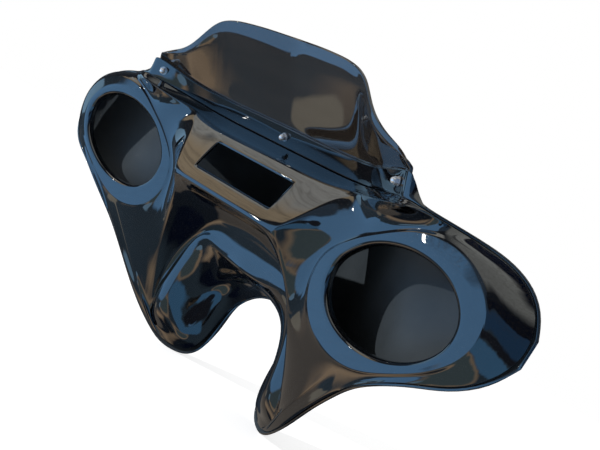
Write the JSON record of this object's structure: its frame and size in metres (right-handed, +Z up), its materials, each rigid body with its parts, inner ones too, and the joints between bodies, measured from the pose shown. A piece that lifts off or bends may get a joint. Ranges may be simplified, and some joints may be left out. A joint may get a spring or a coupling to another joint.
{
  "type": "motorcycle fairing",
  "caption": "Batwing-style fibreglass motorcycle fairing with a smoked windshield, oval speaker pods, a radio cut-out and a U-shaped fork cut-out.",
  "frame": {"origin": "crown of the fork cut-out, where the fairing sits over the fork", "axes": "+X to the rider's right, +Y forward, +Z up"},
  "size_m": [1.004, 0.3473, 0.5757],
  "materials": {
    "outer_gloss_black": "polished gloss-black gel coat on fibreglass, dull inside",
    "inner_gloss_black": "polished gloss-black gel coat on fibreglass",
    "smoked_acrylic": "smoked clear sheet, polished edges",
    "rubber": "matt black rubber",
    "stainless": "plain flat washer",
    "chrome": "bright chrome plating",
    "black_steel": "black coated steel"
  },
  "bodies": {
    "root": {"outer_shell": "outer_gloss_black", "inner_shell": "inner_gloss_black", "windshield": "smoked_acrylic", "left_bolt": "black_steel", "left_rubber_washer": "rubber", "left_washer": "stainless", "left_acorn_nut": "chrome", "center_bolt": "black_steel", "center_rubber_washer": "rubber", "center_washer": "stainless", "center_acorn_nut": "chrome", "right_bolt": "black_steel", "right_rubber_washer": "rubber", "right_washer": "stainless", "right_acorn_nut": "chrome"}
  },
  "joints": []
}
